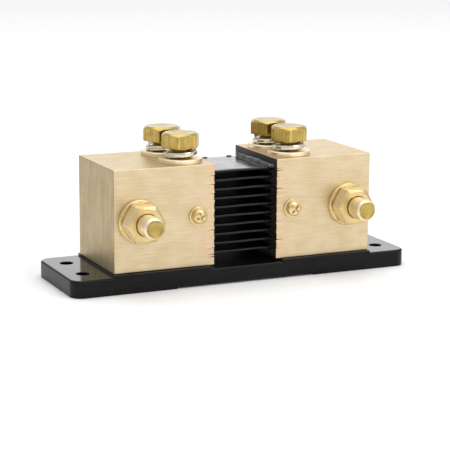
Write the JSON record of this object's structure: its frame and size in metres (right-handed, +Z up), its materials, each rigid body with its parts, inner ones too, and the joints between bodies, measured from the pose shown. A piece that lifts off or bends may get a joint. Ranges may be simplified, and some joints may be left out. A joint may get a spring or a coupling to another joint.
{
  "type": "battery monitor shunt",
  "caption": "Current-measuring shunt: brass terminal blocks joined by a stack of resistor strips on a moulded base, with bolts, studs and sense screws.",
  "frame": {"origin": "centre of the four mounting holes, on the plane the feet stand on", "axes": "+X from the left terminal block to the right one along the base, -Y the side of the studs and sense screws, +Z up"},
  "size_m": [0.135, 0.054, 0.0554],
  "materials": {
    "moulded_plastic": "satin",
    "plated_steel": "satin",
    "brass_block": "brushed",
    "brass_hardware": "polished",
    "nickel_plate": "polished",
    "strip_lacquer": "gloss",
    "solder": "satin"
  },
  "bodies": {
    "shunt": {"base": "moulded_plastic", "base_screws": "plated_steel", "left_block": "brass_block", "right_block": "brass_block", "strip_1": "strip_lacquer", "strip_2": "strip_lacquer", "strip_3": "strip_lacquer", "strip_4": "strip_lacquer", "strip_5": "strip_lacquer", "strip_6": "strip_lacquer", "strip_7": "strip_lacquer", "strip_8": "strip_lacquer", "strip_9": "strip_lacquer", "strip_10": "strip_lacquer", "left_solder": "solder", "right_solder": "solder", "left_stud": "brass_hardware", "right_stud": "brass_hardware"},
    "left_front_bolt_washers": {"left_front_flat_washer": "brass_hardware", "left_front_spring_washer": "nickel_plate"},
    "left_front_bolt": {"left_front_bolt": "brass_hardware"},
    "left_back_bolt_washers": {"left_back_flat_washer": "brass_hardware", "left_back_spring_washer": "nickel_plate"},
    "left_back_bolt": {"left_back_bolt": "brass_hardware"},
    "right_front_bolt_washers": {"right_front_flat_washer": "brass_hardware", "right_front_spring_washer": "nickel_plate"},
    "right_front_bolt": {"right_front_bolt": "brass_hardware"},
    "right_back_bolt_washers": {"right_back_flat_washer": "brass_hardware", "right_back_spring_washer": "nickel_plate"},
    "right_back_bolt": {"right_back_bolt": "brass_hardware"},
    "left_nut_washers": {"left_nut_washer": "brass_hardware"},
    "left_nut": {"left_nut": "brass_hardware"},
    "right_nut_washers": {"right_nut_washer": "brass_hardware"},
    "right_nut": {"right_nut": "brass_hardware"},
    "left_sense_screw_washers": {"left_sense_washer": "brass_hardware"},
    "left_sense_screw": {"left_sense_screw": "brass_hardware"},
    "right_sense_screw_washers": {"right_sense_washer": "brass_hardware"},
    "right_sense_screw": {"right_sense_screw": "brass_hardware"}
  },
  "joints": [
    {"name": "left_front_bolt_travel", "type": "slide", "parent": "shunt", "child": "left_front_bolt_washers", "axis": [0, 0, 1], "range_m": [0, 0.01]},
    {"name": "left_front_bolt_turn", "type": "hinge", "parent": "left_front_bolt_washers", "child": "left_front_bolt", "pos_m": [-0.022, -0.00875, 0.0447], "axis": [0, 0, 1], "range_deg": [0, 2881]},
    {"name": "left_back_bolt_travel", "type": "slide", "parent": "shunt", "child": "left_back_bolt_washers", "axis": [0, 0, 1], "range_m": [0, 0.01]},
    {"name": "left_back_bolt_turn", "type": "hinge", "parent": "left_back_bolt_washers", "child": "left_back_bolt", "pos_m": [-0.022, 0.00875, 0.0447], "axis": [0, 0, 1], "range_deg": [0, 2881]},
    {"name": "right_front_bolt_travel", "type": "slide", "parent": "shunt", "child": "right_front_bolt_washers", "axis": [0, 0, 1], "range_m": [0, 0.01]},
    {"name": "right_front_bolt_turn", "type": "hinge", "parent": "right_front_bolt_washers", "child": "right_front_bolt", "pos_m": [0.022, -0.00875, 0.0447], "axis": [0, 0, 1], "range_deg": [0, 2881]},
    {"name": "right_back_bolt_travel", "type": "slide", "parent": "shunt", "child": "right_back_bolt_washers", "axis": [0, 0, 1], "range_m": [0, 0.01]},
    {"name": "right_back_bolt_turn", "type": "hinge", "parent": "right_back_bolt_washers", "child": "right_back_bolt", "pos_m": [0.022, 0.00875, 0.0447], "axis": [0, 0, 1], "range_deg": [0, 2881]},
    {"name": "left_nut_travel", "type": "slide", "parent": "shunt", "child": "left_nut_washers", "axis": [0, -1, 0], "range_m": [0, 0.0075]},
    {"name": "left_nut_turn", "type": "hinge", "parent": "left_nut_washers", "child": "left_nut", "pos_m": [-0.042, -0.01825, 0.02595], "axis": [0, -1, 0], "range_deg": [0, 2161]},
    {"name": "right_nut_travel", "type": "slide", "parent": "shunt", "child": "right_nut_washers", "axis": [0, -1, 0], "range_m": [0, 0.0075]},
    {"name": "right_nut_turn", "type": "hinge", "parent": "right_nut_washers", "child": "right_nut", "pos_m": [0.042, -0.01825, 0.02595], "axis": [0, -1, 0], "range_deg": [0, 2161]},
    {"name": "left_sense_screw_travel", "type": "slide", "parent": "shunt", "child": "left_sense_screw_washers", "axis": [0, -1, 0], "range_m": [0, 0.004]},
    {"name": "left_sense_screw_turn", "type": "hinge", "parent": "left_sense_screw_washers", "child": "left_sense_screw", "pos_m": [-0.019, -0.01825, 0.02595], "axis": [0, -1, 0], "range_deg": [0, 2881]},
    {"name": "right_sense_screw_travel", "type": "slide", "parent": "shunt", "child": "right_sense_screw_washers", "axis": [0, -1, 0], "range_m": [0, 0.004]},
    {"name": "right_sense_screw_turn", "type": "hinge", "parent": "right_sense_screw_washers", "child": "right_sense_screw", "pos_m": [0.019, -0.01825, 0.02595], "axis": [0, -1, 0], "range_deg": [0, 2881]}
  ],
  "couplings": [
    {"joint": "left_front_bolt_turn", "follows": "left_front_bolt_travel", "rad_per_m": 5026.5},
    {"joint": "left_back_bolt_turn", "follows": "left_back_bolt_travel", "rad_per_m": 5026.5},
    {"joint": "right_front_bolt_turn", "follows": "right_front_bolt_travel", "rad_per_m": 5026.5},
    {"joint": "right_back_bolt_turn", "follows": "right_back_bolt_travel", "rad_per_m": 5026.5},
    {"joint": "left_nut_turn", "follows": "left_nut_travel", "rad_per_m": 5026.5},
    {"joint": "right_nut_turn", "follows": "right_nut_travel", "rad_per_m": 5026.5},
    {"joint": "left_sense_screw_turn", "follows": "left_sense_screw_travel", "rad_per_m": 12566},
    {"joint": "right_sense_screw_turn", "follows": "right_sense_screw_travel", "rad_per_m": 12566}
  ]
}
